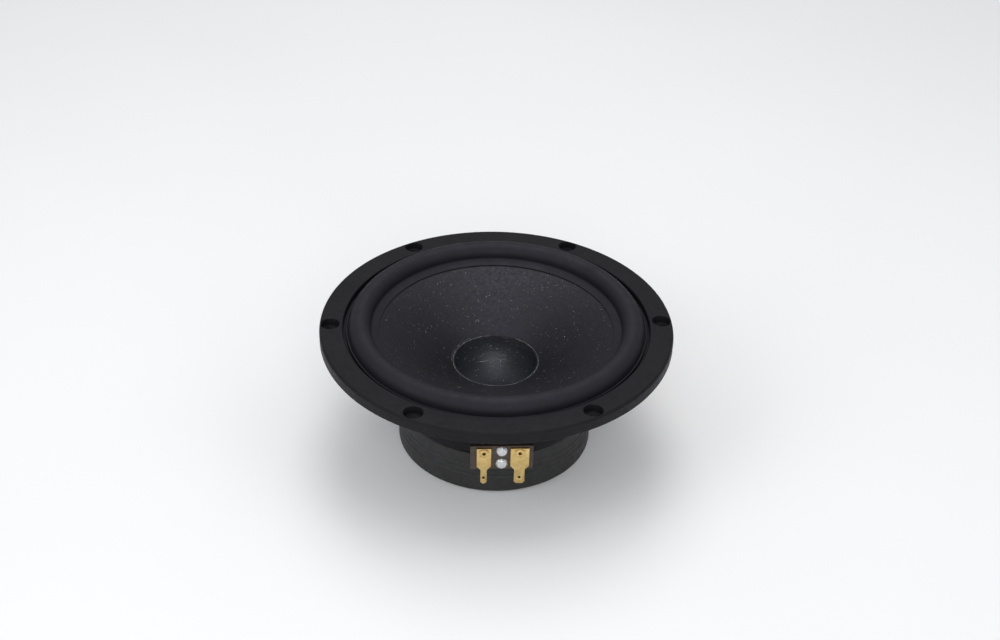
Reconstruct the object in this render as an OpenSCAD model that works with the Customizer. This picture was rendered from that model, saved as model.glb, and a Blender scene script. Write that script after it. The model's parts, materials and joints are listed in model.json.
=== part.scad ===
// Cone loudspeaker driver for a car door, 165 mm class.
// The origin is the centre of the mounting flange's rear face, and +Z points out of the cone's front.
// Lengths are in millimetres.

/* [Mounting flange] */
// Outer diameter of the flange
flange_d = 166; // [165:0.5:170]
// Thickness of the flange
flange_t = 6; // [5.5:0.1:6.5]
// Number of screw holes
hole_count = 6; // [4:1:8]
// Pitch circle diameter of the screw holes
hole_pcd = 156; // [155:0.5:157]
// Diameter of each screw hole
hole_d = 5.2; // [4.5:0.1:5.6]
// Diameter of the round recess for a screw head
recess_d = 8.5; // [8:0.1:9]
// Depth of the recess
recess_depth = 3.4; // [2.5:0.1:4]

/* [Basket] */
// Diameter of the collar that drops into the cut-out
spigot_d = 141; // [140.6:0.1:141.4]
// Depth of the collar behind the flange
spigot_depth = 7; // [6:0.5:8]
// Depth from the flange's rear face to the top plate
basket_depth = 33; // [32.5:0.1:33.5]
// Width of an arm at the collar
arm_top_w = 14; // [12:0.5:15]
// Width of an arm at the spider shelf
arm_low_w = 10; // [9:0.5:11]
// Width of the stiffening rib along each arm
rib_w = 3; // [2:0.5:4]

/* [Surround] */
// Diameter of the surround's outer rim
surround_d = 141.2; // [141:0.1:141.6]
// Radius of the circle that the roll's crest follows
roll_mid_r = 64.2; // [64:0.1:64.3]
// Outer radius of the roll's section
roll_r = 5.2; // [5:0.1:5.2]
// Height of the crest above the flange's front face
crest_h = 4.3; // [4:0.1:5]
// Thickness of the rubber
rubber_t = 0.8; // [0.6:0.1:0.8]
// Radius of the inner lip's free edge
lip_in_r = 55.3; // [54.5:0.1:56]

/* [Cone] */
// Radius of the cone's outer edge
cone_edge_r = 60.3; // [60:0.1:60.6]
// Thickness of the paper
paper_t = 0.7; // [0.6:0.1:1]
// Depth of the dust cap's foot below the flange's front face
cap_depth = 22.5; // [22:0.1:22.6]
// Mean rise of the cone for each millimetre of radius
cone_rise = 0.51; // [0.505:0.001:0.515]
// Height of the cone's flare above a straight line, midway between the dust cap and the edge
cone_flare = 1.4; // [1:0.1:1.6]
// Radius of the dust cap's foot
cap_r = 20.2; // [19.8:0.1:20.6]
// Height of the dust cap above its foot
cap_h = 6.5; // [6:0.1:7]

/* [Voice coil] */
// Inner radius of the former
former_r = 12.75; // [12.7:0.01:12.8]
// Wall of the former
former_t = 0.25; // [0.2:0.01:0.25]
// Radial build of the winding
wire_build = 0.6; // [0.5:0.05:0.6]
// Length of the winding
coil_len = 12; // [10:0.5:12]

/* [Motor] */
// Diameter of the ferrite magnet
magnet_d = 90; // [88:0.5:90]
// Thickness of the magnet
magnet_t = 15; // [14:0.5:15]
// Diameter of the steel plates
plate_d = 84; // [82:0.5:84]
// Thickness of each steel plate
plate_t = 5; // [4.5:0.1:5.5]
// Diameter of the pole
pole_d = 24.8; // [24.6:0.1:24.8]
// Diameter of the hole in the top plate
gap_d = 28; // [28:0.1:28.4]
// Diameter of the vent through the pole
vent_d = 10; // [8:0.5:11]
// Wall of the rubber boot
boot_t = 1.6; // [1.4:0.1:2]

/* [Terminals] */
// Width of the terminal board
board_w = 28; // [26:0.5:30]
// Height of the terminal board
board_h = 13; // [13:0.5:14]
// Thickness of the terminal board
board_t = 1.6; // [1.2:0.1:1.8]
// Width of the positive tab
positive_w = 4.75; // [4.75:0.05:6.3]
// Width of the negative tab
negative_w = 2.8; // [2.8:0.1:3.2]
// Thickness of both tabs
tab_t = 0.8; // [0.5:0.1:0.8]
// Diameter of a flexible lead
lead_d = 1.2; // [1:0.1:1.4]

/* [Hidden] */
$fn = 128;
// Clearance where two pieces of different bodies are glued, the least clearance, and a cutter's overrun
glue = 0.05;
tiny = 0.02;
over = 1;

// Flange and collar
flange_r = flange_d / 2;
edge_chamfer = 1;
bevel = 0.5;
recess_wall_r = 72;
seat_z = flange_t - 2.8;
spigot_r = spigot_d / 2;
spigot_t = 4;
spigot_in_r = spigot_r - spigot_t;
screw_clear = 0.25;

// Lower basket: floor on the top plate, pan wall and spider shelf
floor_t = 2.5;
floor_z = -basket_depth;
floor_hole_r = 24;
pan_r = 50.3;
pan_t = 3;
shelf_in_r = 43;
shelf_t = 2.2;
shelf_z = -24.5;
shelf_rim_r = 48;
shelf_rim_h = 1;
floor_vent_d = 3;
floor_vent_r = 44.9;
floor_vents_per_arm = 3;

// Arms, the first at half a step from +X. Each face is a list of (radius, height) from the collar down
arm_count = 6;
arm_first = 180 / arm_count;
arm_overlap = 3;
arm_flare = 3;
arm_flare_drop = 3;
// Arms and ribs stay this far inside the collar, so that the collar alone fills the cut-out
arm_inset = 0.6;
rib_inset = 0.7;
arm_outer = [
    [spigot_r - 1, -arm_overlap], [spigot_r - 1, -spigot_depth - 0.5], [spigot_r - 3.5, -12],
    [pan_r + 3.7, -25], [pan_r - 0.1, -30], [pan_r - 0.1, floor_z]
];
arm_inner = [
    [spigot_in_r + 0.3, -arm_overlap], [spigot_in_r + 0.3, -spigot_depth + 0.5], [spigot_in_r - 2.9, -11],
    [pan_r + 0.1, -24.2], [pan_r - 2.8, -30], [pan_r - 2.8, floor_z]
];
rib_proud = 2.6;
terminal_arm_angle = 270;

// Terminal group, on the arm that faces -Y
pad_w = 9;
pad_y = -63;
pad_in_r = 52;
pad_margin = [0.5, 1.5];
board_top_z = -16;
eyelet_x = 8;
eyelet_z = board_top_z - 3.6;
eyelet_r = 1.5;
eyelet_head_r = 2.3;
eyelet_head_t = 0.4;
eyelet_bore_r = 0.8;
tab_margin = 1.8;
tab_top = 2.6;
tab_shoulder = 2;
blade_len = 8;
blade_tip = 1;
blade_hole_d = 1.4;
blade_hole_drop = 4.5;
rivet_r = 1.6;
rivet_head_r = 2.9;
rivet_head_slope = 1;
rivet_head_t = 1.1;
rivet_zs = [board_top_z - 3, board_top_z - 10];
rivet_depth = 6;
rivet_tip_gap = 0.5;
solder_r = 1.5;
solder_tip_r = 0.75;
solder_h = 1.2;

// Surround
surround_r = surround_d / 2;
roll_mid_z = flange_t + crest_h - roll_r;
outer_rim_w = 0.7;
outer_rim_h = 0.8;
lip_t = 0.6;

// Cone and cap
cap_z = flange_t - cap_depth;
cone_neck_r = former_r + former_t + glue;
neck_wall = 0.8;
neck_z = -21.5;
paper_drop = paper_t * sqrt(1 + cone_rise * cone_rise);
flare_w = cone_edge_r - cap_r;
cone_steps = 16;
cap_sphere_r = (cap_r * cap_r + cap_h * cap_h) / (2 * cap_h);
cap_centre_z = cap_z + cap_h - cap_sphere_r;
cap_t = 0.5;
bead_r = 0.75;
bead_out = 0.2;
bead_up = 0.1;
bead_reach = 2;

// Motor, from the top plate down
top_z = floor_z;
magnet_z = top_z - plate_t;
back_z = magnet_z - magnet_t;
motor_end_z = back_z - plate_t;
plate_r = plate_d / 2;
plate_bevel = 0.8;
magnet_r = magnet_d / 2;
magnet_hole_r = 22;
magnet_chamfer = 1;
pole_r = pole_d / 2;
pole_proud = 0.5;
pole_flare = 2;
boss_r = 9;
screen_r = 10.8;
screen_t = 0.8;
screen_gap = 0.2;
screen_recess = 1.2;
screen_hole_d = 1.4;
screen_pitch = 2.1;
screen_rings = 2;
boot_gap = 0.1;
boot_side_gap = 0.2;
boot_hole_r = 16;
boot_lip_r = 42.4;
boot_r = magnet_r + boot_side_gap + boot_t;
boot_foot_bevel = 2;
boot_groove_r = 0.6;
boot_groove_out = 0.2;
boot_groove_zs = [-43, -46, -49];

// Motor screws
screw_count = 4;
screw_first = 45;
screw_circle_r = 33;
screw_r = 2.5;
screw_head_r = 4.6;
screw_head_h = 2.1;
hex_af = 3;
hex_depth = 1.4;
screw_tip_gap = 0.2;

// Voice coil
coil_mid_z = top_z - plate_t / 2;
former_out_r = former_r + former_t;
former_low_z = coil_mid_z - coil_len / 2 - 1;
former_top_z = -17.5;
coil_out_r = former_out_r + wire_build;

// Spider
spider_mid_z = shelf_z + 0.3;
spider_t = 0.6;
spider_out_r = 47.5;
spider_flat_r = shelf_in_r - 0.1;
spider_in_r = former_out_r + 1.05;
spider_neck_h = 1.6;
spider_waves = 6;
spider_amp = 1.2;
// Slope with which the waves grow at each end, over the whole width
spider_taper = 6;
spider_steps = 72;
neck_glue_drop = 1.2;

// Flexible leads and coil leads
anchor_x = 6;
anchor_y = -35;
anchor_r = 2.6;
anchor_slope = 0.8;
anchor_t = 1;
coil_lead_d = 0.5;
coil_lead_r = former_out_r + 0.32;
coil_lead_drop = 0.35;
lead_sides = 8;
lead_steps = 2;

// Height of the cone's front surface at radius r: straight under the dust cap and flared outside it
function cone_front(r) =
    let (u = max(0, (r - cap_r) / flare_w))
    cap_z + (r - cap_r) * cone_rise + 4 * cone_flare * u * (1 - u);
// Slope of the flared part at radius r
function cone_slope(r) = cone_rise + 4 * cone_flare / flare_w * (1 - 2 * (r - cap_r) / flare_w);
// Height of the cone's rear surface at radius r
function cone_back(r) = cone_front(r) - paper_drop;
// Height of the spider's middle at radius r, flat at both ends
function spider_wave(r) =
    let (u = (r - spider_in_r) / (spider_flat_r - spider_in_r),
        fade = min(1, spider_taper * u, spider_taper * (1 - u)))
    spider_mid_z + spider_amp * fade * sin(360 * spider_waves * u);
// A point on the cone's rear side, drop below it, on the side given by the sign of x
function on_cone_back(side, r, drop) =
    let (a = atan2(anchor_y, side * anchor_x))
    [r * cos(a), r * sin(a), cone_back(r) - drop];
// A point on a vertical line beside the former, in the same direction
function beside_former(side, r, z) =
    let (a = atan2(anchor_y, side * anchor_x))
    [r * cos(a), r * sin(a), z];

anchor_at_r = norm([anchor_x, anchor_y]);
lead_end_drop = anchor_t + 0.35;

// Route of a flexible lead from its solder joint to its anchor; side is 1 or -1
function lead_route(side) = [
    [side * eyelet_x, pad_y + eyelet_head_t + solder_h + glue, eyelet_z],
    [side * eyelet_x, -59, eyelet_z],
    [side * eyelet_x, -56, -20],
    [side * 7.9, -53, -20.6],
    [side * 7.6, -50, -20.6],
    [side * 7.2, -47, -19.8],
    [side * 6.8, -44, -18.2],
    [side * 6.4, -41, -16],
    [side * 6.2, -38.6, -13.4],
    on_cone_back(side, anchor_at_r + 0.9, lead_end_drop + 1.8),
    on_cone_back(side, anchor_at_r, lead_end_drop)
];

// Route of a coil lead from its anchor down to the top of the winding; side is 1 or -1
function coil_lead_route(side) = [
    for (r = [anchor_at_r - anchor_r - 0.1 : -3 : 16]) on_cone_back(side, r, coil_lead_drop),
    on_cone_back(side, 14.8, coil_lead_drop),
    beside_former(side, 14.3, neck_z + 0.6),
    beside_former(side, 14, neck_z - 0.4),
    beside_former(side, coil_lead_r, neck_z - 1.2),
    beside_former(side, coil_lead_r, -26),
    beside_former(side, coil_lead_r, coil_mid_z + coil_len / 2 + 0.1)
];

// Catmull-Rom point between b and c
function spline_point(a, b, c, d, t) =
    0.5 * (2 * b + (c - a) * t + (2 * a - 5 * b + 4 * c - d) * t * t
    + (3 * b - a - 3 * c + d) * t * t * t);
function smooth(p, steps) = [
    for (i = [0 : len(p) - 2], s = [0 : steps - 1])
        spline_point(p[max(0, i - 1)], p[i], p[i + 1], p[min(len(p) - 1, i + 2)], s / steps),
    p[len(p) - 1]
];
function unit(v) = v / norm(v);
function tangent(p, i) = unit(p[min(len(p) - 1, i + 1)] - p[max(0, i - 1)]);

// Tube along the points p, with flat ends; sideways is a direction that the path never takes
module tube(p, d, sideways = [1, 0, 0]) {
    n = lead_sides;
    rings = [
        for (i = [0 : len(p) - 1])
            let (t = tangent(p, i), v = unit(cross(t, sideways)), u = cross(v, t))
            for (k = [0 : n - 1])
                p[i] + d / 2 * (u * cos(360 * k / n) + v * sin(360 * k / n))
    ];
    sides = [
        for (i = [0 : len(p) - 2], k = [0 : n - 1])
            [i * n + k, i * n + (k + 1) % n, (i + 1) * n + (k + 1) % n, (i + 1) * n + k]
    ];
    first = [for (k = [n - 1 : -1 : 0]) k];
    last = [for (k = [0 : n - 1]) (len(p) - 1) * n + k];
    polyhedron(rings, concat([first], sides, [last]));
}

module ring(r_in, r_out, z_low, z_high) {
    rotate_extrude()
        translate([r_in, z_low])
            square([r_out - r_in, z_high - z_low]);
}

module around(count, first = 0) {
    for (i = [0 : count - 1])
        rotate(first + i * 360 / count)
            children();
}

// Shapes given as (radius, height) stand in the XZ plane, w wide across it
module upright(w) {
    rotate([90, 0, 0])
        linear_extrude(w, center = true)
            children();
}

// ---- basket ----

module rim_section() {
    polygon([
        [spigot_in_r, -spigot_depth], [spigot_r, -spigot_depth], [spigot_r, 0],
        [flange_r, 0], [flange_r, flange_t - edge_chamfer], [flange_r - edge_chamfer, flange_t],
        [recess_wall_r + bevel, flange_t], [recess_wall_r, flange_t - bevel],
        [recess_wall_r, seat_z], [spigot_in_r, seat_z]
    ]);
}

module pan_section() {
    polygon([
        [floor_hole_r, floor_z], [pan_r, floor_z], [pan_r, shelf_z + shelf_rim_h],
        [shelf_rim_r, shelf_z + shelf_rim_h], [shelf_rim_r, shelf_z], [shelf_in_r, shelf_z],
        [shelf_in_r, shelf_z - shelf_t], [pan_r - pan_t, shelf_z - shelf_t],
        [pan_r - pan_t, floor_z + floor_t], [floor_hole_r, floor_z + floor_t]
    ]);
}

// The plate of an arm, seen from the side
module arm_section() {
    polygon(concat(arm_outer, [for (i = [len(arm_inner) - 1 : -1 : 0]) arm_inner[i]]));
}

// Outline of an arm seen from outside: it is widest at the collar and narrows towards the shelf
module arm_face() {
    top = arm_top_w / 2;
    low = arm_low_w / 2;
    polygon([
        [-top - arm_flare, 0], [top + arm_flare, 0], [top + arm_flare, -spigot_depth],
        [top, -spigot_depth - arm_flare_drop], [low, shelf_z], [low, floor_z],
        [-low, floor_z], [-low, shelf_z], [-top, -spigot_depth - arm_flare_drop],
        [-top - arm_flare, -spigot_depth]
    ]);
}

module arm() {
    intersection() {
        upright(arm_top_w + 2 * arm_flare + over)
            arm_section();
        rotate([90, 0, 90])
            linear_extrude(flange_r)
                arm_face();
        cylinder(h = 2 * basket_depth, r = spigot_r - arm_inset, center = true);
    }
}

// A rib is the arm's plate again, narrow and moved outwards, but never outside the collar
module rib() {
    intersection() {
        upright(rib_w)
            translate([rib_proud, 0])
                arm_section();
        cylinder(h = 2 * basket_depth, r = spigot_r - rib_inset, center = true);
    }
}

module terminal_pad() {
    translate([-pad_w / 2, pad_y, board_top_z - board_h + pad_margin[1]])
        cube([pad_w, -pad_y - pad_in_r, board_h - pad_margin[0] - pad_margin[1]]);
}

module screw_place() {
    around(screw_count, screw_first)
        translate([screw_circle_r, 0, floor_z + floor_t])
            children();
}

module basket() {
    color("#1b1b1d")
    difference() {
        union() {
            rotate_extrude()
                rim_section();
            rotate_extrude()
                pan_section();
            around(arm_count, arm_first)
                arm();
            for (a = [arm_first : 360 / arm_count : 360])
                if (a != terminal_arm_angle)
                    rotate(a)
                        rib();
            terminal_pad();
        }
        around(hole_count) {
            translate([hole_pcd / 2, 0, -over])
                cylinder(h = flange_t + 2 * over, d = hole_d);
            translate([hole_pcd / 2, 0, flange_t - recess_depth])
                cylinder(h = recess_depth + over, d = recess_d);
        }
        around(arm_count * floor_vents_per_arm, 360 / arm_count / floor_vents_per_arm / 2)
            translate([floor_vent_r, 0, floor_z - over])
                cylinder(h = floor_t + 2 * over, d = floor_vent_d);
        screw_place() {
            translate([0, 0, -floor_t - over])
                cylinder(h = floor_t + 2 * over, r = screw_r + screw_clear);
            translate([0, 0, -screw_head_h])
                cylinder(h = screw_head_h + glue, r1 = screw_r + screw_clear, r2 = screw_head_r + 2 * glue);
        }
        for (z = rivet_zs)
            translate([0, pad_y, z])
                rotate([-90, 0, 0])
                    translate([0, 0, -over])
                        cylinder(h = rivet_depth + over, r = rivet_r);
    }
}

// ---- parts that bend ----

module surround() {
    inner_leg_r = roll_mid_r - roll_r;
    outer_leg_r = roll_mid_r + roll_r;
    color("#38373b")
    rotate_extrude() {
        difference() {
            translate([roll_mid_r, roll_mid_z])
                circle(r = roll_r);
            translate([roll_mid_r, roll_mid_z])
                circle(r = roll_r - rubber_t);
            translate([roll_mid_r - roll_r - over, roll_mid_z - 2 * roll_r])
                square([2 * (roll_r + over), 2 * roll_r]);
        }
        polygon([
            [lip_in_r, cone_front(lip_in_r) + glue],
            [inner_leg_r + rubber_t, cone_front(inner_leg_r + rubber_t) + glue],
            [inner_leg_r + rubber_t, roll_mid_z], [inner_leg_r, roll_mid_z],
            [inner_leg_r, cone_front(inner_leg_r) + lip_t], [lip_in_r, cone_front(lip_in_r) + lip_t]
        ]);
        polygon([
            [outer_leg_r - rubber_t, seat_z], [surround_r, seat_z],
            [surround_r, seat_z + rubber_t + outer_rim_h],
            [surround_r - outer_rim_w, seat_z + rubber_t + outer_rim_h],
            [surround_r - outer_rim_w, seat_z + rubber_t], [outer_leg_r, seat_z + rubber_t],
            [outer_leg_r, roll_mid_z], [outer_leg_r - rubber_t, roll_mid_z]
        ]);
    }
}

module spider() {
    neck_top = spider_mid_z + spider_neck_h;
    rs = [for (i = [0 : spider_steps]) spider_in_r + (spider_flat_r - spider_in_r) * i / spider_steps];
    upper = [for (r = rs) if (r > spider_in_r + spider_t) [r, spider_wave(r) + spider_t / 2]];
    lower = [for (i = [spider_steps : -1 : 0]) [rs[i], spider_wave(rs[i]) - spider_t / 2]];
    color("#c9a35c")
    rotate_extrude()
        polygon(concat(
            [[spider_in_r, neck_top], [spider_in_r + spider_t, neck_top]],
            upper,
            [[spider_out_r, shelf_z + spider_t], [spider_out_r, shelf_z]],
            lower
        ));
}

module lead(side) {
    color("#b9a58c")
        tube(smooth(lead_route(side), lead_steps), lead_d);
}

module lead_positive() {
    lead(1);
}

module lead_negative() {
    lead(-1);
}

// ---- motor ----

module top_plate() {
    color("#8d9093")
    difference() {
        rotate_extrude()
            polygon([
                [gap_d / 2, top_z - plate_t], [plate_r - plate_bevel, top_z - plate_t],
                [plate_r, top_z - plate_t + plate_bevel], [plate_r, top_z - plate_bevel],
                [plate_r - plate_bevel, top_z], [gap_d / 2, top_z]
            ]);
        screw_place()
            translate([0, 0, -floor_t - plate_t - over])
                cylinder(h = plate_t + 2 * over, r = screw_r + glue);
    }
}

module magnet() {
    color("#3a3b3d")
    rotate_extrude()
        polygon([
            [magnet_hole_r, back_z], [magnet_r - magnet_chamfer, back_z],
            [magnet_r, back_z + magnet_chamfer], [magnet_r, magnet_z - magnet_chamfer],
            [magnet_r - magnet_chamfer, magnet_z], [magnet_hole_r, magnet_z]
        ]);
}

module back_plate() {
    color("#8d9093")
    difference() {
        rotate_extrude()
            polygon([
                [boss_r, back_z], [plate_r, back_z], [plate_r, motor_end_z + plate_bevel],
                [plate_r - plate_bevel, motor_end_z], [boss_r, motor_end_z]
            ]);
        translate([0, 0, motor_end_z - over])
            cylinder(h = screen_recess + over, r = screen_r + screen_gap);
    }
}

module pole_piece() {
    vent_r = vent_d / 2;
    pole_top_z = top_z + pole_proud;
    boss_z = motor_end_z + screen_recess;
    color("#9a9da0")
    rotate_extrude()
        polygon([
            [vent_r, boss_z], [boss_r, boss_z], [boss_r, back_z], [pole_r, back_z],
            [pole_r, pole_top_z - bevel], [pole_r - bevel, pole_top_z],
            [vent_r + pole_flare, pole_top_z], [vent_r, pole_top_z - pole_flare]
        ]);
}

module vent_screen() {
    screen_z = motor_end_z + screen_recess - screen_t;
    color("#76787b")
    difference() {
        translate([0, 0, screen_z])
            cylinder(h = screen_t, r = screen_r);
        for (u = [-screen_rings : screen_rings], v = [-screen_rings : screen_rings])
            if (abs(u + v) <= screen_rings)
                translate([screen_pitch * (u + v / 2), screen_pitch * v * sqrt(3) / 2, screen_z - over])
                    cylinder(h = screen_t + 2 * over, d = screen_hole_d, $fn = 24);
    }
}

module magnet_boot() {
    foot_z = motor_end_z - boot_t;
    color("#171717")
    difference() {
        rotate_extrude()
            polygon([
                [boot_hole_r, foot_z], [boot_r - boot_foot_bevel, foot_z],
                [boot_r, foot_z + boot_foot_bevel], [boot_r, magnet_z + boot_t],
                [boot_lip_r, magnet_z + boot_t], [boot_lip_r, magnet_z + boot_gap],
                [magnet_r + boot_side_gap, magnet_z + boot_gap],
                [magnet_r + boot_side_gap, back_z - boot_gap],
                [plate_r + boot_side_gap, back_z - boot_gap],
                [plate_r + boot_side_gap, motor_end_z - boot_gap],
                [boot_hole_r, motor_end_z - boot_gap]
            ]);
        for (z = boot_groove_zs)
            rotate_extrude()
                translate([boot_r + boot_groove_out, z])
                    circle(r = boot_groove_r, $fn = 32);
    }
}

module motor_screws() {
    color("#5d6063")
    screw_place()
        difference() {
            union() {
                translate([0, 0, -screw_head_h])
                    cylinder(h = screw_head_h, r1 = screw_r, r2 = screw_head_r);
                translate([0, 0, -floor_t - plate_t + screw_tip_gap])
                    cylinder(h = floor_t + plate_t - screw_head_h, r = screw_r);
            }
            translate([0, 0, -hex_depth])
                cylinder(h = hex_depth + over, d = hex_af / cos(30), $fn = 6);
        }
}

// ---- terminals ----

// Children are drawn with their +Z pointing out of the board's outer face
module on_board(x, z) {
    translate([x, pad_y - board_t, z])
        rotate([90, 0, 0])
            children();
}

module terminal_board() {
    color("#2b2320")
    difference() {
        translate([-board_w / 2, pad_y - board_t, board_top_z - board_h])
            cube([board_w, board_t, board_h]);
        for (side = [-1, 1])
            on_board(side * eyelet_x, eyelet_z)
                translate([0, 0, -board_t - over])
                    cylinder(h = board_t + 2 * over, r = eyelet_r);
        for (z = rivet_zs)
            on_board(0, z)
                translate([0, 0, -board_t - over])
                    cylinder(h = board_t + 2 * over, r = rivet_r);
    }
}

// A tab is a plate round its eyelet and a blade that hangs below the board
module tab(x, blade_w) {
    plate = blade_w / 2 + tab_margin;
    blade = blade_w / 2;
    low = board_top_z - board_h - eyelet_z;
    tip = low - blade_len;
    on_board(x, eyelet_z)
        difference() {
            linear_extrude(tab_t)
                polygon([
                    [-plate, tab_top], [plate, tab_top], [plate, low + tab_shoulder], [blade, low],
                    [blade, tip + blade_tip], [blade - blade_tip, tip], [blade_tip - blade, tip],
                    [-blade, tip + blade_tip], [-blade, low], [-plate, low + tab_shoulder]
                ]);
            translate([0, 0, -over])
                cylinder(h = tab_t + 2 * over, r = eyelet_r);
            translate([0, low - blade_hole_drop, -over])
                cylinder(h = tab_t + 2 * over, d = blade_hole_d, $fn = 32);
        }
}

module terminal_positive() {
    color("#d8b75a")
        tab(eyelet_x, positive_w);
}

module terminal_negative() {
    color("#d8b75a")
        tab(-eyelet_x, negative_w);
}

module tab_eyelets() {
    color("#c8a850")
    for (side = [-1, 1])
        on_board(side * eyelet_x, eyelet_z)
            difference() {
                union() {
                    translate([0, 0, -board_t - eyelet_head_t])
                        cylinder(h = eyelet_head_t, r = eyelet_head_r);
                    translate([0, 0, -board_t])
                        cylinder(h = board_t + tab_t, r = eyelet_r);
                    translate([0, 0, tab_t])
                        cylinder(h = eyelet_head_t, r = eyelet_head_r);
                }
                translate([0, 0, -board_t])
                    cylinder(h = board_t + tab_t + eyelet_head_t + over, r = eyelet_bore_r);
            }
}

module board_rivets() {
    color("#a9abad")
    for (z = rivet_zs)
        on_board(0, z) {
            translate([0, 0, -board_t - rivet_depth + rivet_tip_gap])
                cylinder(h = board_t + rivet_depth - rivet_tip_gap, r = rivet_r);
            cylinder(h = rivet_head_t, r1 = rivet_head_r, r2 = rivet_head_r - rivet_head_slope);
        }
}

module solder_joints() {
    color("#c3c5c8")
    for (side = [-1, 1])
        on_board(side * eyelet_x, eyelet_z)
            translate([0, 0, -board_t - eyelet_head_t - solder_h])
                cylinder(h = solder_h, r1 = solder_tip_r, r2 = solder_r);
}

// ---- cone assembly ----

module cone() {
    neck_out_r = cone_neck_r + neck_wall;
    rs = [for (i = [0 : cone_steps]) cap_r + flare_w * i / cone_steps];
    color("#2e2d31")
    rotate_extrude()
        polygon(concat(
            [[cone_neck_r, neck_z], [neck_out_r, neck_z], [neck_out_r, cone_back(neck_out_r)]],
            [for (r = rs) [r, cone_back(r)]],
            [for (i = [cone_steps : -1 : 0]) [rs[i], cone_front(rs[i])]],
            [[cone_neck_r, cone_front(cone_neck_r)]]
        ));
}

module cap_section(r) {
    intersection() {
        translate([0, cap_centre_z])
            circle(r = r);
        translate([0, cap_z + glue])
            square([cap_r + over, cap_h + over]);
    }
}

module dust_cap() {
    color("#33353a")
    rotate_extrude()
        difference() {
            cap_section(cap_sphere_r);
            cap_section(cap_sphere_r - cap_t);
        }
}

module cap_glue_bead() {
    in_r = cap_r - bead_reach;
    out_r = cap_r + bead_reach;
    color("#a5a6ac")
    rotate_extrude()
        difference() {
            translate([cap_r + bead_out, cap_z + bead_up])
                circle(r = bead_r, $fn = 48);
            translate([0, cap_centre_z])
                circle(r = cap_sphere_r + tiny);
            polygon([
                [in_r, cone_front(in_r) - bead_reach], [out_r, cone_front(out_r) - bead_reach],
                [out_r, cone_front(out_r) + tiny], [cap_r, cap_z + tiny], [in_r, cone_front(in_r) + tiny]
            ]);
        }
}

module voice_coil_former() {
    color("#b08a4a")
        ring(former_r, former_out_r, former_low_z, former_top_z);
}

module voice_coil_winding() {
    color("#b5652b")
        ring(former_out_r, coil_out_r, coil_mid_z - coil_len / 2, coil_mid_z + coil_len / 2);
}

module coil_lead(side) {
    color("#b5652b")
        tube(coil_lead_route(side), coil_lead_d);
}

module coil_lead_positive() {
    coil_lead(1);
}

module coil_lead_negative() {
    coil_lead(-1);
}

// A dab of adhesive, flat against the rear of the cone
module lead_anchor(side) {
    a = atan2(anchor_y, side * anchor_x);
    color("#141414")
        translate(on_cone_back(side, anchor_at_r, glue))
            rotate([0, 0, a])
                rotate([0, -atan(cone_slope(anchor_at_r)), 0])
                    translate([0, 0, -anchor_t])
                        cylinder(h = anchor_t, r1 = anchor_r - anchor_slope, r2 = anchor_r, $fn = 48);
}

module lead_anchor_positive() {
    lead_anchor(1);
}

module lead_anchor_negative() {
    lead_anchor(-1);
}

module neck_adhesive() {
    color("#3d2f22")
        ring(cone_neck_r, spider_in_r - glue, spider_mid_z - neck_glue_drop, neck_z - glue);
}

basket();
surround();
spider();
top_plate();
magnet();
back_plate();
pole_piece();
vent_screen();
magnet_boot();
motor_screws();
terminal_board();
terminal_positive();
terminal_negative();
tab_eyelets();
board_rivets();
solder_joints();
lead_positive();
lead_negative();
cone();
dust_cap();
cap_glue_bead();
voice_coil_former();
voice_coil_winding();
coil_lead_positive();
coil_lead_negative();
lead_anchor_positive();
lead_anchor_negative();
neck_adhesive();
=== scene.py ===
import functools
import json
import math

import bmesh
import bpy
import numpy as np
from mathutils import Matrix, Vector

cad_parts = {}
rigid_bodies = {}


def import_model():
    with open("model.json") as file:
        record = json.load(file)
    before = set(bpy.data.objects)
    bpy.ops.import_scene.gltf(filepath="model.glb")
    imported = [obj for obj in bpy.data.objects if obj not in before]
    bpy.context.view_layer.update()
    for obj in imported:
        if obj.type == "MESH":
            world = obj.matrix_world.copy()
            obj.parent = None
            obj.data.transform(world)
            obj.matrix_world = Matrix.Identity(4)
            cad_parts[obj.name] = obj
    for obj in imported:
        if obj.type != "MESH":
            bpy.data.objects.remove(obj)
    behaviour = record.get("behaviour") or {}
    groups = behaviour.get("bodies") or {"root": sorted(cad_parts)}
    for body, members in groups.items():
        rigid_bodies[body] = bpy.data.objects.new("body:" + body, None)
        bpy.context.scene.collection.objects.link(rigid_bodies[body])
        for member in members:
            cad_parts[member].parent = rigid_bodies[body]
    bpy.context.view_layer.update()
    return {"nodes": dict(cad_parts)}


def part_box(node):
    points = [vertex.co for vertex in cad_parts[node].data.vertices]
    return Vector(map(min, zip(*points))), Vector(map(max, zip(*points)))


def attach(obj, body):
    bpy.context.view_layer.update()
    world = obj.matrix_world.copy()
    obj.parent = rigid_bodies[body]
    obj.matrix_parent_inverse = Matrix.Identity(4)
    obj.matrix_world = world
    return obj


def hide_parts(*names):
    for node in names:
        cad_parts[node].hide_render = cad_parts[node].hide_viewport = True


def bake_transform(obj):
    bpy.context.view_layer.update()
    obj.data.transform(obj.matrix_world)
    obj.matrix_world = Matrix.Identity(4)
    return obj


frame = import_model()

# A car loudspeaker driver. Shapes are worked out in millimetres and made in metres.
MM = 0.001
TURN = 2 * math.pi


# ---- places from the frame ----


@functools.lru_cache(maxsize=None)
def box_mm(node):
    """(lowest corner, highest corner) of a CAD node, in mm."""
    low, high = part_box(node)
    return np.array(low) / MM, np.array(high) / MM


def radius(node):
    """Outer radius of a node that is turned about the speaker's axis."""
    return box_mm(node)[1][0]


def low_z(node):
    return box_mm(node)[0][2]


def high_z(node):
    return box_mm(node)[1][2]


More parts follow.
